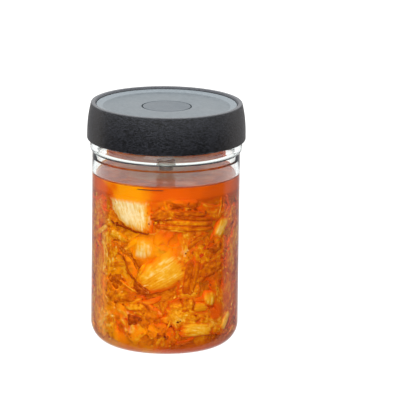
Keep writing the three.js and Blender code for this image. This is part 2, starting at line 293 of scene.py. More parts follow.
def brine_colour(add):
    """Chilli brine: glowing orange, redder where more chilli hangs in it, and with painted shade on the +X
    side.
    """
    patch_size = 0.030
    settled_from, settled_to = 0.004, 0.022
    settled_redness = 0.05
    side_shade_per_metre = 3.0
    place = add("TexCoord").outputs["Object"]
    patches = add("TexNoise", {"Vector": place, "Scale": 1 / patch_size, "Detail": 3.0})
    sides = add("SeparateXYZ", {"Vector": place})
    settled = add("MapRange", {
        "Value": sides.outputs["Z"], "From Min": settled_from, "From Max": settled_to,
        "To Min": settled_redness, "To Max": 0.0,
    })
    low_down = add("Math", {0: patches, 1: settled})
    # Painted shade: the X term makes the brine darker and redder towards the +X side.
    chilli_and_side_shade = add("Math", {
        0: sides.outputs["X"], 1: side_shade_per_metre, 2: low_down,
    }, operation="MULTIPLY_ADD")
    ramp = add("ValToRGB", {"Fac": chilli_and_side_shade}, [(0.34, "#FF9C00"), (0.48, "#EE5E00"), (0.68, "#DC5400")])
    return ramp


def packed_cabbage():
    """Cabbage packed behind the glass in starchy chilli juice: patches of fibre, each lying its own
    way, with dark seams between them that are painted shade in the crevices. Where only juice shows, it is
    an even orange glow."""
    patch_size = 0.0115
    fibre_width = 0.0015
    fibre_length = 0.0100
    bend_size = 0.008
    bend_reach = 0.011
    patch_contrast = 0.30
    fibre_contrast = 1.3
    crevice_shade_width = 0.12
    crevice_shade_tone, patch_tone = -0.34, -0.16
    material, add, shader = new_material("packed cabbage in brine", Roughness=0.5, Specular_IOR_Level=0.05)
    place = add("TexCoord").outputs["Object"]
    bends = add("TexNoise", {"Vector": place, "Scale": 1 / bend_size, "Detail": 3.0})
    bent = add("VectorMath", {
        0: bends.outputs["Color"], 1: [bend_reach] * 3, 2: place,
    }, operation="MULTIPLY_ADD")
    patches = add("TexVoronoi", {"Vector": bent, "Scale": 1 / patch_size})
    seams = add("TexVoronoi", {"Vector": bent, "Scale": 1 / patch_size}, feature="DISTANCE_TO_EDGE")
    ways = add("VectorMath", {0: patches.outputs["Color"], "Scale": 2 * math.pi}, operation="SCALE")
    turned_fibres = add("VectorRotate", {"Vector": bent, "Rotation": ways}, rotation_type="EULER_XYZ")
    stretched = add("VectorMath", {
        0: turned_fibres, 1: (1 / fibre_length, 1 / fibre_width, 1 / fibre_width),
    }, operation="MULTIPLY")
    fibres = add("TexNoise", {"Vector": stretched, "Scale": 1.0, "Detail": 3.0, "Roughness": 0.62})
    patch_tones = add("SeparateColor", {"Color": patches.outputs["Color"]})
    toned = add("Math", {
        0: patch_tones.outputs["Red"], 1: patch_contrast, 2: -patch_contrast / 2,
    }, operation="MULTIPLY_ADD")
    fibred = add("Math", {0: fibres, 1: fibre_contrast, 2: toned}, operation="MULTIPLY_ADD")
    # Painted shade: the seams between patches are drawn darker, for the shade in the crevices.
    crevice_shaded = add("MapRange", {
        "Value": seams, "From Max": crevice_shade_width, "To Min": crevice_shade_tone, "To Max": patch_tone,
    })
    shade = add("Math", {0: fibred, 1: crevice_shaded})
    ramp = add(
        "ValToRGB", {"Fac": shade},
        stops=[
            (0.05, "#8C3200"), (0.25, "#B44C00"), (0.42, "#D06400"), (0.58, "#DA7800"),
            (0.75, "#DE8C08"), (0.95, "#E4A42C"),
        ],
    )
    packed = add("Attribute", attribute_name="packed")
    mix = add("Mix", {0: packed.outputs["Fac"], 6: brine_colour(add), 7: ramp}, data_type="RGBA")
    relief = add("Bump", {"Height": shade, "Strength": 0.35, "Distance": 0.0005})
    feed(shader, {"Base Color": mix.outputs[2], "Normal": relief})
    return material


def brine_oil():
    """Chilli oil on the brine: a pale middle that is painted sheen, and redder towards the wall."""
    patch_size = 0.014
    sheen_fade_per_metre = -10.0
    material, add, shader = new_material("chilli oil film with painted sheen", Roughness=0.5, Specular_IOR_Level=0.05)
    place = add("TexCoord").outputs["Object"]
    patches = add("TexNoise", {"Vector": place, "Scale": 1 / patch_size, "Detail": 3.0})
    level = add("VectorMath", {0: place, 1: (1.0, 1.0, 0.0)}, operation="MULTIPLY")
    radius = add("VectorMath", {0: level}, operation="LENGTH")
    # Painted sheen: the pale middle stands in for the bright surroundings mirrored in the oil.
    sheen_to_wall = add("Math", {
        0: radius.outputs["Value"], 1: sheen_fade_per_metre, 2: patches,
    }, operation="MULTIPLY_ADD")
    ramp = add("ValToRGB", {"Fac": sheen_to_wall}, [(0.0, "#C84A10"), (0.20, "#FA7830"), (0.50, "#FFB07C")])
    feed(shader, {"Base Color": ramp})
    return material


def apart(angle, other):
    """The way round from one place to another in radians. Both are given in degrees."""
    return np.radians((angle - other + 180) % 360 - 180)


def from_pockets(angle, height):
    """How far a place on the wall is from each pocket's middle, as a share of the pocket's reach."""
    for pocket_angle, pocket_height, reach in POCKETS:
        yield np.hypot(apart(angle, pocket_angle) * INNER_RADIUS, height - pocket_height) / reach


def packing(angle, height):
    """How much cabbage shows at a place on the wall: 0 in the clear brine, 1 in the heap."""
    top = PIECES_TOP + HEAP_UNEVENNESS * noise.noise(Vector((math.radians(angle) * HEAP_WAVES, 0, 0)))
    share = min(max((top - height) / TOP_BLEND, 0), 1)
    share *= min(max((height - FOOT_CLEAR) / FOOT_BLEND, 0), 1)
    for away in from_pockets(angle, height):
        share *= ease(min(max(away - POCKET_CORE, 0), 1))
    return share


def cloud_profile():
    """The cloudy body's profile, a little inside the glass, and close to it at the base."""
    foot = []
    for k in range(15):
        inset = CLOUD_BASE_DEPTH + (CLOUD_DEPTH - CLOUD_BASE_DEPTH) * k / 14
        turn = math.radians(90 * k / 14)
        reach = INNER_ROUNDING - inset
        foot.append((
            INNER_RADIUS - INNER_ROUNDING + reach * math.sin(turn),
            BASE_THICKNESS + INNER_ROUNDING - reach * math.cos(turn),
        ))
    heights = np.arange(BASE_THICKNESS + INNER_ROUNDING + CLOUD_STEP, CLOUD_TOP, CLOUD_STEP)
    wall = [(INNER_RADIUS - cloud_depth(h), h) for h in heights]
    return [(0, foot[0][1]), *foot, *wall, (INNER_RADIUS - CLOUD_TOP_DEPTH, CLOUD_TOP), (0, CLOUD_TOP)]


brine_body = turned("cloudy_brine", cloud_profile())
for point in brine_body.data.vertices:
    if 0 < point.co.z < PIECES_TOP:
        fine_lump = noise.noise(point.co / (LUMP_SIZE / LUMP_FINENESS))
        lump = noise.noise(point.co / LUMP_SIZE) + 0.5 * fine_lump
        inward = 1 - LUMP_DEPTH * (LUMP_INSET + lump) / INNER_RADIUS
        point.co = (point.co.x * inward, point.co.y * inward, point.co.z)
packed = brine_body.data.attributes.new("packed", "FLOAT", "POINT")
packed.data.foreach_set("value", [
    packing(math.degrees(math.atan2(point.co.x, -point.co.y)), point.co.z)
    for point in brine_body.data.vertices
])
coat(
    brine_body, packed_cabbage(), brine_oil(), second=lambda face: face.center.z > CLOUD_TOP - TOLERANCE,
)
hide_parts("kimchi")
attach(brine_body, "root")

# Cabbage stems
# Thick white midribs of napa cabbage, cut across into chunks and pressed against the glass. They
# stay the palest of all, with fine fibres along them, and take up orange brine from their edges.

ROOT_DEPTH = 0.0050
# How much of a piece's reach is a stained rim that fades into the brine, how far below the heap's
# top the pieces start to fade, and the height under which the brine hides them again.
RIM_SHARE = 0.42
TOP_FADE = 0.0042
FOOT_TOP = 0.0100
# How deep a place lies where brine starts to hide it, and over what depth it does so.
SOAK_FROM = 0.0009
SOAK_OVER = CLOUD_DEPTH - 0.0011
# How far each piece's fibres are shifted, so that no two are alike.
PIECE_SHIFT = 0.05
# How near the glass and its root a piece may come, and how low and high it may reach.
LEAST_DEPTH = 0.00025
ROOT_MARGIN = 0.001
FOOT_MARGIN = 0.0015
TOP_OVERLAP = 0.0012
# How much redder a piece is at its edge and root, and how far a thin one's rim fades into the brine.
EDGE_TONE = 0.26
ROOT_TONE = 0.1
RIM_SOAK = 0.5
# How far round a pocket its brine hides the pieces, and over what share of its reach that ends.
POCKET_REACH = 1.3
POCKET_BLEND = 0.5
# The bites of a torn edge, as how many go round a piece, their reach and their shift.
TEARS = [(3, 0.5, 1), (7, 0.3, 2), (13, 0.2, 5), (27, 0.15, 9)]


def on_wall(angle, sideways, height, depth):
    """Places inside the glass wall, from degrees round from the front, a way round from there, and
    a height. Depth is measured in from the wall's inner face."""
    below = np.clip((BASE_THICKNESS + INNER_ROUNDING - height) / INNER_ROUNDING, 0, 0.98)
    level = np.sqrt(1 - below ** 2)
    radius = INNER_RADIUS - INNER_ROUNDING + (INNER_ROUNDING - depth) * level
    around = math.radians(angle) + sideways / INNER_RADIUS
    return np.stack(
        [radius * np.sin(around), -radius * np.cos(around), height + depth * below], axis=-1,
    )


def soaked(depth):
    """How far brine hides a place: 0 against the glass, 1 where the cloudy brine starts."""
    share = np.clip((depth - SOAK_FROM) / SOAK_OVER, 0, 1)
    return share * share * (3 - 2 * share)


class Heap:
    """Many pieces of one kind in one mesh. Each point keeps its place along and across its own
    piece, how stained the piece is, and how far brine hides it."""

    def __init__(self):
        self.points = []
        self.faces = []
        self.grain = []
        self.tone = []
        self.soak = []
        self.pieces = 0

    def add(self, points, faces, grain, tone, soak):
        """Adds one piece. Grain is in metres along and across it."""
        first = len(self.points)
        self.points.extend(map(tuple, points))
        self.faces.extend(tuple(first + corner for corner in face) for face in faces)
        self.grain.extend((along, across, PIECE_SHIFT * self.pieces) for along, across in grain)
        self.tone.extend(tone)
        self.soak.extend(soak)
        self.pieces += 1

    def made(self, name, material):
        """The joined mesh as one object."""
        piece = body(name, self.points, self.faces, sharp_degrees=60)
        grain = piece.data.attributes.new("grain", "FLOAT_VECTOR", "POINT")
        grain.data.foreach_set("vector", np.array(self.grain, np.float32).ravel())
        for attribute, values in (("tone", self.tone), ("soak", self.soak)):
            layer = piece.data.attributes.new(attribute, "FLOAT", "POINT")
            layer.data.foreach_set("value", np.array(values, np.float32))
        coat(piece, material)
        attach(piece, "root")
        return piece


def sheet_faces(rows, columns):
    """Faces of a sheet of rows by columns points, whose rim goes in to a root that closes it. Also
    returns the rim's points in order."""
    at = np.arange(rows * columns).reshape(rows, columns)
    faces = [
        (at[i, j], at[i, j + 1], at[i + 1, j + 1], at[i + 1, j])
        for i in range(rows - 1)
        for j in range(columns - 1)
    ]
    rim = [*at[0, :-1], *at[:-1, -1], *at[-1, :0:-1], *at[:0:-1, 0]]
    root = [rows * columns + k for k in range(len(rim))]
    for k in range(len(rim)):
        after = (k + 1) % len(rim)
        faces.append((rim[after], rim[k], root[k], root[after]))
    faces.append(tuple(root))
    return faces, rim


def clear_of_pieces(degrees, height):
    """How far a place lies in a pocket of clear brine: 0 outside, 1 well inside."""
    nearest = np.minimum.reduce(list(from_pockets(degrees, height)))
    return np.clip((POCKET_REACH - nearest) / POCKET_BLEND, 0, 1)


def cut_piece(heap, place, steps, relief):
    """Adds a piece cut from a leaf, against the glass. Relief gives the depth of its face below its
    highest part, from the place along and across it and from u and v, which run from -1 to 1."""
    rows, columns = steps
    faces, rim = sheet_faces(rows, columns)
    u, v = np.meshgrid(np.linspace(-1, 1, rows), np.linspace(-1, 1, columns), indexing="ij")
    corner = place.get("corner", 0.3)
    phase = place["phase"]
    length, width = place["length"], place["width"]
    way_round = np.arctan2(v, u)
    torn = 1 + place["tear"] * sum(
        reach * np.sin(bites * way_round + shift * phase) for bites, reach, shift in TEARS
    )
    along = u * np.sqrt(1 - corner * v ** 2) * torn * length / 2
    across = v * np.sqrt(1 - corner * u ** 2) * torn * width / 2
    across = across + place.get("bend", 0) * (u ** 2 - 0.4) * length / 2
    depth = place["depth"] + relief(along, across, u, v, place)
    depth = depth + place.get("sunk_rim", 0) * (u ** 2 + v ** 2)
    depth = np.clip(depth, LEAST_DEPTH, ROOT_DEPTH - ROOT_MARGIN)
    if "offsets" in place:
        s, t = 2 * along[..., None] / length, 2 * across[..., None] / width
        first, second, third, fourth = place["offsets"]
        spot = ((1 - s) * ((1 - t) * first + (1 + t) * second)
                + (1 + s) * ((1 + t) * third + (1 - t) * fourth)) / 4
        sideways, height = spot[..., 0], place["height"] + spot[..., 1]
    else:
        turn = math.radians(place["turn"])
        sideways = along * math.cos(turn) - across * math.sin(turn)
        height = place["height"] + along * math.sin(turn) + across * math.cos(turn)
    height = np.clip(height, BASE_THICKNESS + FOOT_MARGIN, PIECES_TOP + TOP_OVERLAP)
    front = on_wall(place["angle"], sideways, height, depth).reshape(-1, 3)
    rim_sideways = sideways.ravel()[rim]
    rim_height = height.ravel()[rim]
    root = on_wall(place["angle"], rim_sideways, rim_height, np.full(len(rim), ROOT_DEPTH))
    grain = np.stack([along.ravel(), across.ravel()], axis=-1)
    edge = ((u ** 4 + v ** 4) ** 0.25).ravel()
    tone = place["tone"] + EDGE_TONE * edge ** 3 + place.get("tone_rise", 0) * u.ravel()
    rim_share = place.get("rim_share", RIM_SHARE)
    rim_soak = place.get("rim_soak", RIM_SOAK)
    margin = np.clip((edge - 1 + rim_share) / rim_share, 0, 1)
    rising = np.clip((height.ravel() - PIECES_TOP + TOP_FADE) / TOP_FADE, 0, 1)
    sinking = np.clip((FOOT_TOP - height.ravel()) / FOOT_TOP * 2, 0, 1)
    soak = np.maximum.reduce([soaked(depth.ravel()), rim_soak * margin ** 1.5, rising, sinking])
    if "offsets" not in place:
        degrees = place["angle"] + np.degrees(sideways.ravel() / INNER_RADIUS)
        soak = np.maximum(soak, clear_of_pieces(degrees, height.ravel()))
    heap.add(
        np.vstack([front, root]), faces, np.vstack([grain, grain[rim]]),
        np.concatenate([tone, tone[rim] + ROOT_TONE]), np.concatenate([soak, np.ones(len(rim))]),
    )


FRONT_GROWTH = 1.22


def laid_out(corners, depth, tone, **place):
    """A piece that shows clearly in front, from its corners as degrees from the front towards +X and
    heights: two where its fibres start, then two where they end. They are the corners of what shows
    inside the stained rim, so the piece reaches further. Depth is how far its face lies from the
    glass, and tone how stained it is."""
    angle, height = np.mean(corners, axis=0)
    offsets = np.array([(apart(a, angle) * INNER_RADIUS, h - height) for a, h in corners])
    offsets = offsets * FRONT_GROWTH
    first, second, third, fourth = offsets
    length = np.linalg.norm(third + fourth - first - second) / 2
    width = np.linalg.norm(second + third - first - fourth) / 2
    return dict(
        place, depth=depth, tone=tone, offsets=offsets, angle=angle, height=height,
        length=length, width=width,
    )


def stem_relief(along, across, u, v, place):
    """A thick chunk: gently arched across, rounded at its edges, with fibres along it."""
    arch, edge_drop, fibre_depth, wave_depth = 0.0004, 0.0018, 0.00006, 0.00018
    fibre_spacing = 0.0021
    edge = np.maximum(np.abs(u), np.abs(v))
    weave = 1.2 * np.sin(along / 0.006 + place["phase"])
    fibres = np.sin(2 * math.pi * across / fibre_spacing + weave)
    waves = np.sin(along / 0.0041 + across / 0.0052 + place["phase"])
    return arch * v ** 2 + edge_drop * edge ** 4 + fibre_depth * fibres + wave_depth * (1 + waves)


def cabbage(name, fibre_width, fibre_length, streaks, mottling, pale="#F9E0B0"):
    """Wet fermented cabbage: fibres along each piece, pale where it is thick and clean, and yellow
    to orange-red where chilli brine has soaked in."""
    mottle_size = 0.0030
    blotch_size = 0.0110
    blotching = 0.3
    side_shade_per_metre = 1.3
    paleness = 0.04
    fraying = 0.9
    clear_to, hidden_from = 0.42, 1.40
    material, add, shader = new_material(name, Roughness=0.38, Specular_IOR_Level=0.05)
    place = add("TexCoord").outputs["Object"]
    grain = add("Attribute", attribute_name="grain")
    tone = add("Attribute", attribute_name="tone")
    soak = add("Attribute", attribute_name="soak")
    stretched = add("VectorMath", {
        0: grain.outputs["Vector"], 1: (1 / fibre_length, 1 / fibre_width, 1 / PIECE_SHIFT),
    }, operation="MULTIPLY")
    fibres = add("TexNoise", {
        "Vector": stretched, "Scale": 1.0, "Detail": 3.0, "Roughness": 0.6,
        "Distortion": 0.5,
    })
    mottle = add("TexNoise", {"Vector": place, "Scale": 1 / mottle_size, "Detail": 3.0, "Roughness": 0.6})
    blotch = add("TexNoise", {"Vector": place, "Scale": 1 / blotch_size, "Detail": 2.0})
    streaked = add("Math", {0: fibres, 1: streaks, 2: tone.outputs["Fac"]}, operation="MULTIPLY_ADD")
    mottled = add("Math", {0: mottle, 1: mottling, 2: streaked}, operation="MULTIPLY_ADD")
    stained = add("Math", {0: blotch, 1: blotching, 2: mottled}, operation="MULTIPLY_ADD")
    sides = add("SeparateXYZ", {"Vector": place})
    # Painted shade: the X term makes each piece darker and redder towards the +X side.
    redder = add("Math", {
        0: sides.outputs["X"], 1: side_shade_per_metre, 2: stained,
    }, operation="MULTIPLY_ADD")
    centred = add("Math", {
        0: redder, 1: (streaks + mottling + blotching) / 2 - paleness,
    }, operation="SUBTRACT")
    ramp = add(
        "ValToRGB", {"Fac": centred},
        stops=[
            (0.0, pale), (0.14, "#F2C678"), (0.28, "#F0AA24"), (0.44, "#E68E04"),
            (0.60, "#D66A00"), (0.80, "#B84A00"), (1.0, "#882E00"),
        ],
    )
    frayed = add("Math", {0: fibres, 1: fraying, 2: soak.outputs["Fac"]}, operation="MULTIPLY_ADD")
    hidden = add("MapRange", {
        "Value": frayed, "From Min": clear_to, "From Max": hidden_from,
    }, interpolation_type="SMOOTHSTEP")
    colour = add("Mix", {0: hidden, 6: ramp, 7: brine_colour(add)}, data_type="RGBA")
    relief = add("Bump", {"Height": streaked, "Strength": 0.22, "Distance": 0.0004})
    feed(shader, {"Base Color": colour.outputs[2], "Normal": relief})
    return material


FRONT_STEMS = [
    laid_out([(-40, 0.0972), (-13, 0.0940), (-14, 0.1185), (-54, 0.1215)], 0.0002, 0.05),
    laid_out([(-28, 0.0728), (-9, 0.0722), (-8, 0.0884), (-28, 0.0874)], 0.0008, 0.16,
             sunk_rim=0.0012, rim_share=1.0),
    laid_out([(-24, 0.0600), (-11, 0.0475), (22, 0.0620), (3, 0.0790)], 0.0003, 0.26,
             tone_rise=-0.12),
    laid_out([(43, 0.0885), (54, 0.0868), (63, 0.0975), (51, 0.1015)], 0.0005, 0.18),
    laid_out([(16, 0.0262), (16, 0.0155), (41, 0.0143), (40, 0.0240)], 0.0005, 0.24),
    laid_out([(35, 0.0375), (46, 0.0364), (47, 0.0463), (35, 0.0480)], 0.0006, 0.28,
             sunk_rim=0.0006),
    laid_out([(23, 0.0404), (25, 0.0330), (39, 0.0326), (37, 0.0400)], 0.0007, 0.32,
             sunk_rim=0.0006),
    laid_out([(51, 0.0175), (58, 0.0160), (67, 0.0262), (60, 0.0300)], 0.0003, 0.20),
]
STEM_COUNT = 34
# A full turn, over which each piece's waves start at a place of their own.
PHASES = 6.28
WALL_LENGTH = 2 * math.pi * INNER_RADIUS


def taken(angle, height, share):
    """Whether a place on the wall is in a clear pocket of brine or behind a front chunk."""
    if min(from_pockets(angle, height)) < 1:
        return True
    for front in FRONT_STEMS:
        across = apart(angle, front["angle"]) * INNER_RADIUS
        if math.hypot(across, height - front["height"]) < share * front["length"]:
            return True
    return False


def scattered(random, count, lowest, highest):
    """Evenly spread places round the wall, as (angle, height), each moved a little by chance."""
    stray = 0.8
    rows = max(1, round(math.sqrt(count * (highest - lowest) / WALL_LENGTH)))
    columns = math.ceil(count / rows)
    for k in range(rows * columns):
        row, column = divmod(k, columns)
        angle = 360 * (column + 0.5 * (row % 2) + stray * (random.random() - 0.5)) / columns
        height = lowest + (highest - lowest) * (row + 0.5 + stray * (random.random() - 0.5)) / rows
        yield angle, height


def cut_fronts(heap, random, fronts, relief, step, **cut):
    """Cuts the pieces in front. Step is the size of their mesh along and across them."""
    for front in fronts:
        steps = (int(front["length"] / step[0]), int(front["width"] / step[1]))
        cut_piece(heap, dict(front, phase=PHASES * random.random(), **cut), steps, relief)


def scatter_cuts(heap, random, places, relief, steps, spans, share, **cut):
    """Scatters cuts round the wall where none in front lies. Spans give the lowest and highest of
    what is drawn for each, or with the word normal, the middle and the usual distance from it."""
    for angle, height in scattered(random, *places):
        drawn = {
            what: random.normal(*span[:2]) if "normal" in span else random.uniform(*span)
            for what, span in spans.items()
        }
        piece = dict(drawn, angle=angle, height=height, phase=PHASES * random.random(), **cut)
        if not taken(angle, height, share):
            cut_piece(heap, piece, steps, relief)


stem_random = np.random.default_rng(11)
stems = Heap()
# The thick rims in front fade wholly into the brine, where thinner ones fade by half.
cut_fronts(
    stems, stem_random, FRONT_STEMS, stem_relief, (0.0008, 0.0006), corner=0.22, tear=0.10, rim_soak=1.0,
)
scatter_cuts(
    stems, stem_random, (STEM_COUNT, 0.010, 0.112), stem_relief, (28, 22), share=0.6,
    spans=dict(
        length=(0.014, 0.028), width=(0.010, 0.020), turn=(0, 180), depth=(0.0009, 0.0019),
        tone=(0.22, 0.56),
    ),
    corner=0.3, tear=0.12,
)
stem_material = cabbage("napa cabbage stem", 0.0019, 0.0130, 0.80, 0.45)
stems.made("cabbage_stems", stem_material)

# Cabbage leaves
# The thin green-yellow part of the leaf, cut in squares and crumpled in the brine. Its folds and
# branching veins catch the light, and the hollows between them hold chilli paste.

FRONT_LEAVES = [
    laid_out([(-14, 0.0860), (-14, 0.0740), (8, 0.0760), (6, 0.0835)], 0.0012, 0.46,
             sunk_rim=0.0012, rim_share=1.0),
    laid_out([(7, 0.1185), (10, 0.1130), (28, 0.1120), (25, 0.1180)], 0.0005, 0.66),
    laid_out([(-11, 0.1080), (-9, 0.1030), (9, 0.1055), (5, 0.1125)], 0.0004, 0.56),
    laid_out([(-50, 0.0925), (-50, 0.0865), (-33, 0.0840), (-32, 0.0880)], 0.0004, 0.34),
    laid_out([(-54, 0.0705), (-42, 0.0710), (-41, 0.0805), (-54, 0.0800)], 0.0005, 0.52),
    laid_out([(-31, 0.0385), (-31, 0.0335), (-16, 0.0345), (-16, 0.0397)], 0.0004, 0.40),
    laid_out([(15, 0.0445), (16, 0.0345), (25, 0.0350), (25, 0.0440)], 0.0005, 0.44),
    laid_out([(30, 0.0690), (34, 0.0590), (53, 0.0620), (47, 0.0710)], 0.0004, 0.56),
    laid_out([(-50, 0.0460), (-50, 0.0375), (-26, 0.0415), (-30, 0.0490)], 0.0004, 0.56),
    laid_out([(37, 0.0800), (42, 0.0750), (54, 0.0785), (49, 0.0835)], 0.0004, 0.62),
    laid_out([(-30, 0.0300), (-31, 0.0230), (-20, 0.0250), (-20, 0.0305)], 0.0003, 0.80),
    laid_out([(-26, 0.0550), (-24, 0.0470), (-12, 0.0468), (-15, 0.0525)], 0.0005, 0.78),
    laid_out([(-6, 0.0190), (-5, 0.0138), (3, 0.0138), (2, 0.0190)], 0.0004, 0.74),
]
LEAF_COUNT = 84


def leaf_relief(along, across, u, v, place):
    """A crumpled leaf: a raised midrib, side veins, and folds that run askew."""
    fold_depth, ripple_depth, edge_drop = 0.00045, 0.00006, 0.0010
    midrib_height, vein_height = 0.0003, 0.00012
    phase = place["phase"]
    edge = np.maximum(np.abs(u), np.abs(v))
    folds = np.abs(np.sin(along / 0.0030 + 1.6 * np.sin(across / 0.0034 + phase) + phase))
    folds += np.abs(np.sin(across / 0.0024 + 1.3 * np.sin(along / 0.0041 + 2 * phase)))
    ripples = np.sin(along / 0.0011 + across / 0.0017 + 2 * np.sin(across / 0.002 + phase))
    midrib = np.exp(-(across / 0.0011) ** 2)
    veins = np.abs(np.sin((along - 1.2 * np.abs(across)) / 0.0021 + phase)) ** 6
    raised = fold_depth * folds + ripple_depth * ripples - midrib_height * midrib - vein_height * veins
    return raised + edge_drop * edge ** 8


leaf_random = np.random.default_rng(23)
leaves = Heap()
cut_fronts(leaves, leaf_random, FRONT_LEAVES, leaf_relief, (0.0008, 0.0007), tear=0.24)
scatter_cuts(
    leaves, leaf_random, (LEAF_COUNT, 0.008, 0.113), leaf_relief, (32, 24), share=0.36,
    spans=dict(
        length=(0.018, 0.034), width=(0.011, 0.022), turn=(0, 180), depth=(0.0007, 0.0014),
        tone=(0.26, 0.62),
    ),
    tear=0.26,
)
leaf_material = cabbage("napa cabbage leaf", 0.0014, 0.0070, 0.60, 1.15, pale="#F2CC78")
leaves.made("cabbage_leaves", leaf_material)

# Cabbage strips
# Narrow cuts of rib and leaf that bend round the other pieces, ribbed along their length.

FRONT_STRIPS = [
    laid_out([(2, 0.1037), (2, 0.0999), (39, 0.0973), (39, 0.0998)], 0.0003, 0.46),
    laid_out([(-3, 0.0999), (-3, 0.0961), (39, 0.0935), (39, 0.0960)], 0.0003, 0.52),
    laid_out([(7, 0.1100), (8, 0.1068), (33, 0.1049), (32, 0.1080)], 0.0004, 0.62),
    laid_out([(9, 0.1062), (10, 0.1040), (39, 0.1004), (39, 0.1027)], 0.0004, 0.66),
    laid_out([(15, 0.0494), (20, 0.0484), (25, 0.0700), (18, 0.0705)], 0.0004, 0.60),
    laid_out([(20, 0.0484), (24, 0.0480), (30, 0.0680), (25, 0.0700)], 0.0004, 0.54),
    laid_out([(-73, 0.0345), (-60, 0.0361), (-59, 0.0746), (-70, 0.0725)], 0.0004, 0.48),
    laid_out([(-38, 0.0550), (-37, 0.0536), (-23, 0.0474), (-23, 0.0488)], 0.0002, 0.34),
]
STRIP_COUNT = 160


def strip_relief(along, across, u, v, place):
    """A narrow cut: rounded across, with two or three ribs and a slow wave along it."""
    side_drop, rib_depth, wave_depth, end_drop = 0.0005, 0.00008, 0.00022, 0.0012
    ribs = np.abs(np.sin(across / 0.00062 + place["phase"]))
    waves = np.sin(along / 0.0038 + place["phase"])
    edge = np.abs(u) ** 10
    return side_drop * v ** 4 + rib_depth * ribs + wave_depth * (1 + waves) + end_drop * edge


strip_random = np.random.default_rng(37)
strips = Heap()
for front in FRONT_STRIPS:
    strip = dict(front, corner=0.2, tear=0.07, phase=PHASES * strip_random.random())
    cut_piece(strips, strip, (44, 10), strip_relief)
scatter_cuts(
    strips, strip_random, (STRIP_COUNT, 0.008, 0.114), strip_relief, (30, 8), share=0.42,
    spans=dict(
        length=(0.010, 0.028), width=(0.0016, 0.0044), turn=(20, 45, "normal"), depth=(0.0007, 0.0018),
        tone=(0.26, 0.60), bend=(-0.2, 0.2),
    ),
    corner=0.2, tear=0.10,
)
strip_material = cabbage("napa cabbage rib strip", 0.0010, 0.0090, 0.60, 0.95, pale="#F2CC78")
strips.made("cabbage_strips", strip_material)

# Shreds
# Threads of rib and ginger that float loose between the larger pieces and lie along the glass.

SHRED_COUNT = 110
SHRED_POINTS = 14
SHRED_SIDES = 5
SHRED_CURL = 140
SHRED_SWAY = 0.0004
CREASE_SHADE_DEPTH = 0.0007
CREASE_SHADE_WANDER = 0.0003
CREASE_SHADE_STEPS = 6
# Painted shade: dark threads laid in the creases where leaves fold or meet, as thickness, tone and places
# on the wall.
CREASE_SHADE_LINES = [
    (0.00090, 0.95, [(-48, 0.0983), (-44, 0.0969), (-38, 0.0960), (-31, 0.0952), (-23, 0.0929),
                     (-13, 0.0926)]),
    (0.00090, 0.84, [(-41, 0.0758), (-35, 0.0735), (-32, 0.0693), (-31, 0.0633), (-27, 0.0591),
                     (-22, 0.0551), (-16, 0.0509), (-12, 0.0473)]),
    (0.00065, 0.88, [(-6, 0.1026), (-1, 0.1030), (5, 0.1038)]),
    (0.00050, 0.75, [(3, 0.0073), (10, 0.0079), (22, 0.0103)]),
    (0.00045, 0.66, [(-49, 0.0830), (-42, 0.0824), (-34, 0.0789), (-26, 0.0714), (-20, 0.0628)]),
]


def thread(heap, angle, sideways, height, sink, thickness, tone):
    """Adds a thin tube through a row of places on the wall, tapered towards both ends."""
    count = len(sideways)
    heading = np.arctan2(np.gradient(height), np.gradient(sideways))
    taper = thickness * np.sin(math.pi * np.linspace(0.08, 0.92, count)) ** 0.4
    points = []
    for k in range(SHRED_SIDES):
        side = 2 * math.pi * k / SHRED_SIDES
        points.append(on_wall(
            angle, sideways - np.sin(heading) * taper * math.cos(side),
            height + np.cos(heading) * taper * math.cos(side), sink + taper * math.sin(side),
        ))
    points = np.stack(points, axis=1).reshape(-1, 3)
    at = np.arange(count * SHRED_SIDES).reshape(count, SHRED_SIDES)
    faces = [
        (at[i, k], at[i, (k + 1) % SHRED_SIDES], at[i + 1, (k + 1) % SHRED_SIDES], at[i + 1, k])
        for i in range(count - 1)
        for k in range(SHRED_SIDES)
    ]
    faces += [tuple(at[0]), tuple(at[-1])]
    grain = [(0.001 * i, thickness * k) for i in range(count) for k in range(SHRED_SIDES)]
    heap.add(points, faces, grain, [tone] * len(points), np.repeat(soaked(sink), SHRED_SIDES))


def shred(heap, random, angle, height):
    """Adds one loose thread that curls against the glass."""
    length = random.uniform(0.005, 0.017)
    thickness = random.uniform(0.00025, 0.00055)
    curl = random.uniform(-1, 1) * SHRED_CURL
    turn = random.uniform(0, 2 * math.pi)
    share = np.linspace(0, 1, SHRED_POINTS)
    heading = turn + curl * length * (share - 0.5)
    step = length / SHRED_POINTS
    sideways = np.cumsum(np.cos(heading)) * step
    upward = np.cumsum(np.sin(heading)) * step
    upward = np.clip(height + upward - upward.mean(), BASE_THICKNESS + 0.002, PIECES_TOP)
    depth = random.uniform(0.0011, 0.0021)
    sink = depth + SHRED_SWAY * np.sin(share * random.uniform(3, 9) + turn)
    thread(heap, angle, sideways, upward, sink, thickness, random.uniform(0.24, 0.56))


shred_random = np.random.default_rng(53)
shreds = Heap()
for angle, height in scattered(shred_random, SHRED_COUNT, 0.008, 0.115):
    if not taken(angle, height, share=0.45):
        shred(shreds, shred_random, angle, height)
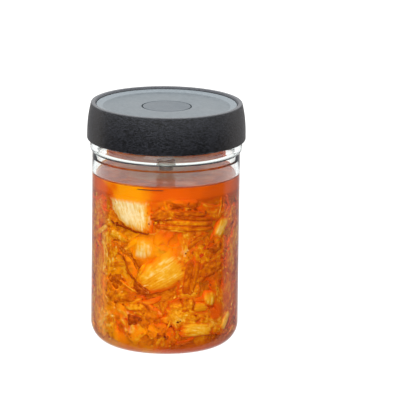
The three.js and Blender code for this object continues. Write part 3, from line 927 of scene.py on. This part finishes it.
# Dark threads along the creases are painted shade, joined into the same mesh as the shreds.
for thickness, tone, places in CREASE_SHADE_LINES:
    angles, heights = np.array(places).T
    bends = np.linspace(0, len(places) - 1, CREASE_SHADE_STEPS * len(places))
    wander = shred_random.normal(0, CREASE_SHADE_WANDER, (2, len(bends)))
    sideways = np.radians(np.interp(bends, range(len(places)), angles)) * INNER_RADIUS + wander[0]
    crease_shade_heights = np.interp(bends, range(len(places)), heights) + wander[1]
    thread(shreds, 0, sideways, crease_shade_heights, np.full(len(bends), CREASE_SHADE_DEPTH), thickness, tone)
shreds.made("cabbage_shreds_and_crease_shade", strip_material)

# Crumbs
# Small torn bits of leaf, garlic, radish and carrot that fill the gaps.

CRUMB_COUNT = 1100
CRUMB_UNEVENNESS = 0.35
CRUMB_FLATNESS = 0.6
ICOSAHEDRON = bmesh.new()
bmesh.ops.create_icosphere(ICOSAHEDRON, subdivisions=1, radius=1)
CRUMB_POINTS = np.array([point.co[:] for point in ICOSAHEDRON.verts])
CRUMB_FACES = [tuple(point.index for point in face.verts) for face in ICOSAHEDRON.faces]
ICOSAHEDRON.free()

crumb_random = np.random.default_rng(67)
crumbs = Heap()
for angle, height in scattered(crumb_random, CRUMB_COUNT, 0.007, 0.116):
    size = crumb_random.uniform(0.0005, 0.0013)
    shape = CRUMB_POINTS * crumb_random.uniform(0.5, 1.1, 3) * size
    shape = shape * (1 + CRUMB_UNEVENNESS * crumb_random.uniform(-1, 1, (len(CRUMB_POINTS), 1)))
    depth = crumb_random.uniform(0.0006, 0.0020)
    spin = crumb_random.uniform(0, 2 * math.pi)
    sideways = shape[:, 0] * math.cos(spin) - shape[:, 1] * math.sin(spin)
    upward = shape[:, 0] * math.sin(spin) + shape[:, 1] * math.cos(spin)
    depths = np.clip(depth + CRUMB_FLATNESS * shape[:, 2], LEAST_DEPTH, None)
    tone = crumb_random.uniform(0.25, 0.80)
    if not taken(angle, height, share=0.42):
        crumbs.add(
            on_wall(angle, sideways, height + upward, depths), CRUMB_FACES, shape[:, :2],
            [tone] * len(shape), soaked(depths),
        )
crumbs.made("cabbage_crumbs", leaf_material)

# Chilli flakes
# Dried red chilli, crushed with its skin: thin angular chips, dark red to nearly black when wet.

FLAKE_COUNT = 440
FLAKE_THICKNESS = 0.00018
FLAKE_NARROWNESS = 0.75
FLAKE_SOAK = 0.8
# Chips that show clearly in front, as degrees, height, size and tone, from black to scarlet.
FRONT_FLAKES = [
    (19, 0.1152, 0.0026, 0.00), (21, 0.1105, 0.0016, 0.10), (0, 0.0961, 0.0030, 0.15),
    (17, 0.0781, 0.0020, 0.10), (19, 0.0749, 0.0024, 0.15), (11, 0.0268, 0.0030, 0.00),
    (1, 0.0157, 0.0030, 0.00), (6, 0.0240, 0.0020, 0.10), (26, 0.0312, 0.0028, 0.35),
    (-31, 0.0178, 0.0014, 0.20), (-51, 0.0107, 0.0026, 0.40), (-34, 0.0873, 0.0012, 0.10),
    (35, 0.0295, 0.0016, 0.30), (36, 0.0407, 0.0016, 0.40), (-55, 0.0988, 0.0016, 0.20),
    (-42, 0.0968, 0.0042, 0.00), (30, 0.0604, 0.0020, 0.30), (2, 0.0331, 0.0014, 0.20),
    (-6, 0.0376, 0.0020, 0.50), (-3, 0.0642, 0.0010, 0.10), (37, 0.0801, 0.0018, 0.10),
    (34, 0.0815, 0.0055, 0.55), (31, 0.0750, 0.0050, 0.50), (-33, 0.0262, 0.0055, 0.62),
    (37, 0.0830, 0.0040, 0.60),
]


def flake(heap, random, angle, height, size, tone):
    """Adds one chip: a thin uneven polygon, lying nearly flat against the glass."""
    corners = int(random.integers(5, 8))
    turns = np.sort(random.uniform(0, 2 * math.pi, corners)) + random.uniform(0, 6)
    reach = size / 2 * random.uniform(0.6, 1.1, corners)
    lean = random.uniform(-0.3, 0.3, 2)
    depth = random.uniform(0.0003, 0.0012)
    sideways = reach * np.cos(turns)
    upward = FLAKE_NARROWNESS * reach * np.sin(turns)
    face = np.clip(depth + lean[0] * sideways + lean[1] * upward, LEAST_DEPTH, None)
    front = on_wall(angle, sideways, height + upward, face)
    back = on_wall(angle, sideways, height + upward, face + FLAKE_THICKNESS)
    rim = [(k, (k + 1) % corners, corners + (k + 1) % corners, corners + k) for k in range(corners)]
    faces = [tuple(range(corners)), tuple(range(corners, 2 * corners)), *rim]
    grain = np.stack([np.tile(sideways, 2), np.tile(upward, 2)], axis=-1)
    heap.add(np.vstack([front, back]), faces, grain, [tone] * (2 * corners),
             FLAKE_SOAK * soaked(np.tile(face, 2)))


def crushed_chilli():
    """Dried chilli skin, soaked: glossy dark red, some chips scarlet, some burnt brown."""
    speckle_size = 0.0006
    speckle_contrast = 0.35
    material, add, shader = new_material("crushed dried chilli", Roughness=0.3, Specular_IOR_Level=0.05)
    tone = add("Attribute", attribute_name="tone")
    soak = add("Attribute", attribute_name="soak")
    place = add("TexCoord").outputs["Object"]
    speckle = add("TexNoise", {"Vector": place, "Scale": 1 / speckle_size, "Detail": 2.0})
    shade = add("Math", {0: speckle, 1: speckle_contrast, 2: tone.outputs["Fac"]}, operation="MULTIPLY_ADD")
    ramp = add(
        "ValToRGB", {"Fac": shade},
        stops=[(0.1, "#5A1402"), (0.45, "#9A2203"), (0.75, "#D23A06"), (1.0, "#E86010")],
    )
    colour = add("Mix", {0: soak.outputs["Fac"], 6: ramp, 7: brine_colour(add)}, data_type="RGBA")
    feed(shader, {"Base Color": colour.outputs[2]})
    return material


flake_random = np.random.default_rng(71)
flakes = Heap()
for angle, height, size, tone in FRONT_FLAKES:
    flake(flakes, flake_random, angle, height, size, tone)
for angle, height in scattered(flake_random, FLAKE_COUNT, 0.007, 0.117):
    size = flake_random.uniform(0.0005, 0.0015)
    tone = flake_random.uniform(-0.1, 0.8)
    if not taken(angle, height, share=0.30):
        flake(flakes, flake_random, angle, height, size, tone)
flakes.made("chilli_flakes", crushed_chilli())

# Brine
# Clear chilli juice that fills the gaps up to the level, wetting the glass and climbing it a little.
# It is made to reach just into the wall, so that no air shows between them.

BRINE_INTO_WALL = 0.0001
MENISCUS_WIDTH = 0.0014
# Oil and froth dull the surface, so it mirrors less than clean brine of IOR 1.34 does.
SURFACE_IOR = 1.27


def clear_brine(name, ior, roughness):
    """Salted chilli juice: water-clear in a thin film, with a warm tint and slow ripples."""
    return clear(name, "#FFF4E0", ior, roughness, wave_length=0.012, wave_depth=0.00003)


brine_radius = INNER_RADIUS + BRINE_INTO_WALL
brine_rounding = INNER_ROUNDING + BRINE_INTO_WALL
meniscus = [
    (brine_radius - MENISCUS_WIDTH * k / 8, FILL_HEIGHT + MENISCUS_RISE * (1 - k / 8) ** 3)
    for k in range(9)
]
brine_side = [
    (0, BASE_THICKNESS - BRINE_INTO_WALL),
    *arc(INNER_RADIUS - INNER_ROUNDING, BASE_THICKNESS + INNER_ROUNDING, brine_rounding, -90, 0, 28),
]
brine = turned("brine", brine_side + meniscus + [(0, FILL_HEIGHT)])
# Inside the wall the glass has already bent the light, so the brine's side bends it no further.
coat(
    brine, clear_brine("chilli brine under oil", SURFACE_IOR, 0.12),
    clear_brine("chilli brine against glass", 1.0, 0.0),
    second=lambda face: face.index < len(brine_side) * TURN_STEPS,
)
brine.visible_shadow = False
brine.visible_diffuse = False
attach(brine, "root")

# Fill mark
# A thin dark line of ceramic ink fired on the outside of the glass at the highest fill level.

MARK_HEIGHT = 0.1257
MARK_THICKNESS = 0.00005
MARK_LINE = 0.0006
MARK_FROM = -22
MARK_TO = -1.5
MARK_STEPS = 24


def mottled(name, patch_size, detail, tones, **surface):
    """A dull material with two tones in fine patches."""
    material, add, shader = new_material(name, **surface)
    place = add("TexCoord").outputs["Object"]
    patches = add("TexNoise", {"Vector": place, "Scale": 1 / patch_size, "Detail": detail})
    ramp = add("ValToRGB", {"Fac": patches}, [(0.3, tones[0]), (0.7, tones[1])])
    feed(shader, {"Base Color": ramp})
    return material


def fired_ink():
    """Ceramic ink: a dull dark brown with slightly uneven cover."""
    return mottled("fired ceramic ink", 0.0008, 2.0, ("#2A1410", "#3A1E16"), Roughness=0.55)


mark_points = []
for k in range(MARK_STEPS + 1):
    turn = math.radians(MARK_FROM + (MARK_TO - MARK_FROM) * k / MARK_STEPS)
    for radius in (JAR_RADIUS - MARK_THICKNESS, JAR_RADIUS + MARK_THICKNESS):
        for height in (MARK_HEIGHT - MARK_LINE / 2, MARK_HEIGHT + MARK_LINE / 2):
            mark_points.append((radius * math.sin(turn), -radius * math.cos(turn), height))
mark_faces = [(0, 1, 3, 2), tuple(4 * MARK_STEPS + corner for corner in (0, 1, 3, 2))]
for k in range(MARK_STEPS):
    for a, b in ((0, 1), (1, 3), (3, 2), (2, 0)):
        mark_faces.append((4 * k + a, 4 * k + b, 4 * k + 4 + b, 4 * k + 4 + a))
fill_mark = body("fill_mark", mark_points, mark_faces)
coat(fill_mark, fired_ink())
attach(fill_mark, "root")

# Lid shell
# Moulded polypropylene with a fine spark-eroded grain: a skirt whose side bulges gently, a rounded
# foot, a narrow rim, and a shelf inside that bears on the jar's mouth.

LID_HEIGHT = 0.1794
LID_RADIUS = 0.0580
LID_TOP_RADIUS = 0.0553
LID_BULGE_POWER = 2.5
LID_FOOT_HEIGHT = 0.1521
LID_FOOT_ROUNDING = 0.0014
LID_BORE = 0.0543
LID_EDGE_ROUNDING = 0.0004
FINE_EDGE = 0.0003
RIM_WIDTH = 0.0028
RIM_INNER_LEAN = 0.0009
RIM_INNER_DROP = 0.0013
SHELF_RADIUS = 0.0470
SHELF_THICKNESS = 0.0022
FIT_GAP = 0.0003
FACING_UP = 0.5


def softened(corners, closes=False):
    """A profile of (radius, height, softening) corners with each corner rounded off that far."""
    profile = []
    for k, (radius, height, softening) in enumerate(corners):
        here = Vector((radius, height))
        if not softening or (not closes and k in (0, len(corners) - 1)):
            profile.append((radius, height))
            continue
        before = Vector(corners[k - 1][:2])
        after = Vector(corners[(k + 1) % len(corners)][:2])
        start = here + (before - here).normalized() * softening
        end = here + (after - here).normalized() * softening
        for share in (0, 0.2, 0.4, 0.6, 0.8, 1):
            bend = start * (1 - share) ** 2 + here * 2 * share * (1 - share) + end * share ** 2
            profile.append((bend.x, bend.y))
    return profile


def grained_plastic(name, colour, dull_colour, roughness, grain_depth, grain_size=0.0011):
    """Moulded polypropylene: an eroded mould leaves a fine matte grain, which scatters highlights.
    The real grain is 0.1 mm. To show, it is drawn about 0.7 mm high and 2 mm long round the lid."""
    wear_size = 0.020
    wear_contrast = 0.2
    gloss_spread = 0.05
    material, add, shader = new_material(name, IOR=1.49, Specular_IOR_Level=0.85)
    place = add("TexCoord").outputs["Object"]
    drawn_out = add("VectorMath", {
        0: place, 1: (0.5 / grain_size, 0.5 / grain_size, 1.6 / grain_size),
    }, operation="MULTIPLY")
    grain = add("TexNoise", {"Vector": drawn_out, "Scale": 1.0, "Detail": 3.0, "Roughness": 0.75})
    wear = add("TexNoise", {"Vector": place, "Scale": 1 / wear_size, "Detail": 4.0})
    mixed = add("Math", {0: wear, 1: wear_contrast, 2: grain}, operation="MULTIPLY_ADD")
    tint = add("ValToRGB", {"Fac": mixed}, [(0.53, dull_colour), (0.68, colour)])
    gloss = add("MapRange", {
        "Value": wear, "From Min": 0.3, "From Max": 0.7,
        "To Min": roughness - gloss_spread, "To Max": roughness + gloss_spread,
    })
    relief = add("Bump", {"Height": grain, "Strength": 1.0, "Distance": grain_depth})
    feed(shader, {"Base Color": tint, "Roughness": gloss, "Normal": relief})
    return material


lid_corner = LID_FOOT_HEIGHT + LID_FOOT_ROUNDING
shelf_height = MOUTH_HEIGHT + FIT_GAP
shelf_top = shelf_height + SHELF_THICKNESS
rim_inner = LID_TOP_RADIUS - RIM_WIDTH
pocket_radius = rim_inner - RIM_INNER_LEAN
side_height = LID_HEIGHT - LID_EDGE_ROUNDING - lid_corner
lid_side = [
    (
        LID_RADIUS - (LID_RADIUS - LID_TOP_RADIUS) * (k / 24) ** LID_BULGE_POWER,
        lid_corner + side_height * k / 24,
        0,
    )
    for k in range(1, 24)
]
lid_corners = [
    (LID_BORE, LID_FOOT_HEIGHT, FINE_EDGE),
    (LID_RADIUS, LID_FOOT_HEIGHT, LID_FOOT_ROUNDING),
    *lid_side,
    (LID_TOP_RADIUS, LID_HEIGHT - LID_EDGE_ROUNDING, LID_EDGE_ROUNDING),
    (LID_TOP_RADIUS - LID_EDGE_ROUNDING, LID_HEIGHT, FINE_EDGE),
    (rim_inner, LID_HEIGHT, LID_EDGE_ROUNDING),
    (pocket_radius, LID_HEIGHT - RIM_INNER_DROP, FINE_EDGE),
    (pocket_radius, shelf_top, 0),
    (SHELF_RADIUS, shelf_top, FINE_EDGE),
    (SHELF_RADIUS, shelf_height, FINE_EDGE),
    (LID_BORE, shelf_height, 0),
]
lid_shell = turned("lid_skirt", softened(lid_corners, closes=True), closes=True)
# The rim's top is rubbed smoother than the side, so it shines where it is seen at a low angle. Its lighter
# grey is painted sheen on top of that.
coat(
    lid_shell, grained_plastic("charcoal polypropylene", "#292A30", "#030304", 0.35, 0.00025),
    grained_plastic("rubbed charcoal polypropylene with painted sheen", "#46484D", "#36383D", 0.26, 0.00002),
    second=lambda face: face.center.z > LID_HEIGHT - RIM_INNER_DROP and face.normal.z > FACING_UP,
)
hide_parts("lid_shell")
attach(lid_shell, "root")

# Lid plate
# A disc of the same plastic, pressed into the shell's shelf, in a grey lighter than the shell's: partly its
# own tone and partly painted sheen from the bright surroundings it mirrors at a low angle. A band slopes
# down from its edge to a flat middle, painted lighter still as painted sheen. A round pocket holds the
# button.

PLATE_RECESS = 0.0030
PLATE_BAND_WIDTH = 0.0050
PLATE_BAND_DROP = 0.0015
PLATE_BAND_SOFTNESS = 0.0015
BUTTON_RADIUS = 0.0175
BUTTON_THICKNESS = 0.0020
BUTTON_GROOVE = 0.0009

plate_bottom = shelf_top + FIT_GAP
plate_top = LID_HEIGHT - PLATE_RECESS
plate_edge = pocket_radius - FIT_GAP
pocket_floor = plate_top - BUTTON_THICKNESS - FIT_GAP
lid_plate = turned("lid_top_plate", softened([
    (0, plate_bottom, 0),
    (plate_edge, plate_bottom, FINE_EDGE),
    (plate_edge, plate_top + PLATE_BAND_DROP, FINE_EDGE),
    (plate_edge - PLATE_BAND_WIDTH, plate_top, PLATE_BAND_SOFTNESS),
    (BUTTON_RADIUS + BUTTON_GROOVE, plate_top, FINE_EDGE),
    (BUTTON_RADIUS + BUTTON_GROOVE, pocket_floor, 0),
    (0, pocket_floor, 0),
]))
# Painted sheen: the outer band takes the second, lighter grey, and the plate's own grey is partly painted
# sheen.
coat(
    lid_plate, grained_plastic("grey satin polypropylene, partly painted sheen", "#5E666B", "#545C61", 0.34, 0.00002),
    grained_plastic("grey polypropylene band with painted sheen", "#727A7F", "#6A7277", 0.34, 0.00002),
    second=lambda face: face.center.xy.length > plate_edge - PLATE_BAND_WIDTH and face.normal.z > FACING_UP,
)
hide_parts("lid_plate")
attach(lid_plate, "root")

# Valve button
# A round cap of softer plastic over the valve, flush with the plate and slightly crowned.

BUTTON_EDGE = 0.0004
BUTTON_CROWN = 0.00025
CROWN_SHARE = 0.97

button_bottom = pocket_floor + FIT_GAP
button_top = button_bottom + BUTTON_THICKNESS
crown = [
    (BUTTON_RADIUS * (1 - k / 12) * CROWN_SHARE, button_top + BUTTON_CROWN * ease(k / 12), 0)
    for k in range(12)
]
valve_button = turned("valve_cap", softened([
    (0, button_bottom, 0),
    (BUTTON_RADIUS, button_bottom, BUTTON_EDGE),
    (BUTTON_RADIUS, button_top, BUTTON_EDGE),
    *crown,
    (0, button_top + BUTTON_CROWN, 0),
]))
coat(valve_button, grained_plastic("grey elastomer", "#50585E", "#484F55", 0.38, 0.00002))
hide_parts("valve_button")
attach(valve_button, "root")

# Valve stem
# A stainless steel tube, turned and polished, that hangs from a collar under the plate. It steps in
# through a rounded shoulder to a narrower tip that just dips into the brine.

STEM_RADIUS = 0.0069
STEM_TIP_RADIUS = 0.0051
STEM_STEP_HEIGHT = 0.1303
STEM_BOTTOM = 0.1252
STEM_COLLAR_RADIUS = 0.0110
STEM_COLLAR_THICKNESS = 0.0020
STEM_EDGE = 0.0005


def turned_steel():
    """Stainless steel off the lathe: fine rings round it, drawn at 0.3 mm so that they show."""
    ring_spacing = 0.0003
    ring_depth = 0.00002
    wave_period = 0.314  # the wave texture's own, at a scale of 1
    material, add, shader = new_material("stainless steel", Metallic=1.0, Roughness=0.18)
    place = add("TexCoord").outputs["Object"]
    rings = add("TexWave", {
        "Vector": place, "Scale": wave_period / ring_spacing, "Distortion": 0.6, "Detail": 2.0,
    }, wave_type="BANDS", bands_direction="Z")
    tint = add("ValToRGB", {"Fac": rings.outputs["Fac"]}, [(0.0, "#8C8880"), (1.0, "#B4B0A8")])
    relief = add("Bump", {"Height": rings.outputs["Fac"], "Strength": 0.3, "Distance": ring_depth})
    feed(shader, {"Base Color": tint, "Normal": relief})
    return material


stem_top = plate_bottom - FIT_GAP
stem_step = STEM_RADIUS - STEM_TIP_RADIUS
step_arc = arc(STEM_TIP_RADIUS, STEM_STEP_HEIGHT + stem_step, stem_step, -70, 0)
step_curve = [(*point, 0) for point in step_arc]
valve_stem = turned("valve_tube", softened([
    (0, STEM_BOTTOM, 0),
    (STEM_TIP_RADIUS, STEM_BOTTOM, STEM_EDGE),
    (STEM_TIP_RADIUS, STEM_STEP_HEIGHT, 0),
    *step_curve,
    (STEM_RADIUS, stem_top - STEM_COLLAR_THICKNESS, STEM_EDGE),
    (STEM_COLLAR_RADIUS, stem_top - STEM_COLLAR_THICKNESS, STEM_EDGE),
    (STEM_COLLAR_RADIUS, stem_top, STEM_EDGE),
    (0, stem_top, 0),
]))
coat(valve_stem, turned_steel())
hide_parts("valve_stem")
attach(valve_stem, "root")

# Studio
# A white paper sweep that glows by itself. The surroundings are bright behind, overhead and in a panel
# at each side, and dark in front, so the glass shows pale bands at its edges and a clear face.

FLOOR_SIZE = 12.0
# Where the bright side panels start and end, as a share of the way from the front to the back, and
# how steeply up the surroundings start and finish turning into the bright ceiling.
SIDE_PANEL = (0.60, 0.74)
CEILING_FROM = 0.02
CEILING_TO = 0.34


def white_sweep():
    """Matte background paper, with the faintest fibre mottling."""
    return mottled(
        "background paper", 0.004, 3.0, ("#767675", "#7A7A7A"), Roughness=0.9, Specular_IOR_Level=0.1,
        Emission_Color=linear("#FFFFFF"), Emission_Strength=1.0,
    )


half = FLOOR_SIZE / 2
floor_mesh = bpy.data.meshes.new("floor")
floor_mesh.from_pydata(
    [(-half, -half, 0), (half, -half, 0), (half, half, 0), (-half, half, 0)], [], [(0, 1, 2, 3)],
)
floor = placed("floor", floor_mesh)
coat(floor, white_sweep())
# The glass doesn't mirror the sweep, no glow of the food lies on it, and the low lamp shines through.
floor.visible_glossy = False
floor.visible_diffuse = False
floor.visible_shadow = False

world = bpy.data.worlds.new("studio")
world.use_nodes = True
bpy.context.scene.world = world
add = partial(add_node, world.node_tree)
toward = add("TexCoord").outputs["Generated"]
parts = add("SeparateXYZ", {"Vector": toward})
forward = add("Math", {0: parts.outputs["Y"], 1: -1.0}, operation="MULTIPLY")
bearing = add("Math", {0: parts.outputs["X"], 1: forward}, operation="ARCTAN2")
aside = add("Math", {0: bearing}, operation="ABSOLUTE")
share = add("Math", {0: aside, 1: math.pi}, operation="DIVIDE")
around = add(
    "ValToRGB", {"Fac": share},
    stops=[
        (0.0, "#101012"), (SIDE_PANEL[0] - 0.04, "#1C1C20"), (SIDE_PANEL[0] + 0.01, "#BCB6B0"),
        (SIDE_PANEL[1] - 0.01, "#BCB6B0"), (SIDE_PANEL[1] + 0.04, "#9A9A9E"), (0.86, "#A8A8AC"),
        (0.92, "#D8D4D0"), (1.0, "#D8D4D0"),
    ],
)
overhead = add("MapRange", {"Value": parts.outputs["Z"], "From Min": CEILING_FROM, "From Max": CEILING_TO})
dome = add("Mix", {0: overhead, 6: around, 7: linear("#F2F4F6")}, data_type="RGBA")
feed(world.node_tree.nodes["Background"], {"Color": dome.outputs[2], "Strength": 1.0})

# Soft lamps, as name, place, size and watts. They light the contents and aren't mirrored in the glass.
LAMPS = [
    ("key", (-0.34, -1.6, 0.95), 1.5, 15.3),
    ("fill", (0.9, -1.6, 0.70), 1.5, 2.0),
    ("low", (-0.15, -1.2, -1.0), 1.5, 15.0),
    ("top", (0.0, -0.2, 1.70), 1.2, 26.0),
]
LAMPS_AIM = Vector((0, 0, 0.09))
for name, place, size, watts in LAMPS:
    light = bpy.data.lights.new(name, "AREA")
    light.shape = "DISK"
    light.size = size
    light.energy = watts
    lamp = placed(name, light)
    lamp.location = place
    lamp.rotation_mode = "QUATERNION"
    lamp.rotation_quaternion = (Vector(place) - LAMPS_AIM).to_track_quat("Z", "Y")
    lamp.visible_glossy = False

# Camera
# The photograph's view: a long lens four metres away, looking slightly down, tilted a hair.

CAMERA_DISTANCE = 4.0
CAMERA_ELEVATION = 13.511
CAMERA_ROLL = 0.712
CAMERA_TARGET = Vector((0.02514, 0.0, 0.10620))
LENS_MM = 491.46
SENSOR_MM = 36.0

camera_data = bpy.data.cameras.new("camera")
camera_data.lens = LENS_MM
camera_data.sensor_width = SENSOR_MM
camera_data.clip_end = 100.0
camera = placed("camera", camera_data)
elevation = math.radians(CAMERA_ELEVATION)
back = Vector((0, -math.cos(elevation), math.sin(elevation)))
camera.location = CAMERA_TARGET + back * CAMERA_DISTANCE
camera.rotation_mode = "QUATERNION"
level_view = back.to_track_quat("Z", "Y").to_matrix()
roll = Matrix.Rotation(math.radians(CAMERA_ROLL), 3, "Z")
camera.rotation_quaternion = (level_view @ roll).to_quaternion()
bpy.context.scene.camera = camera
bpy.context.scene.view_settings.view_transform = "Standard"
bpy.context.scene.cycles.caustics_reflective = False
bpy.context.scene.cycles.caustics_refractive = False
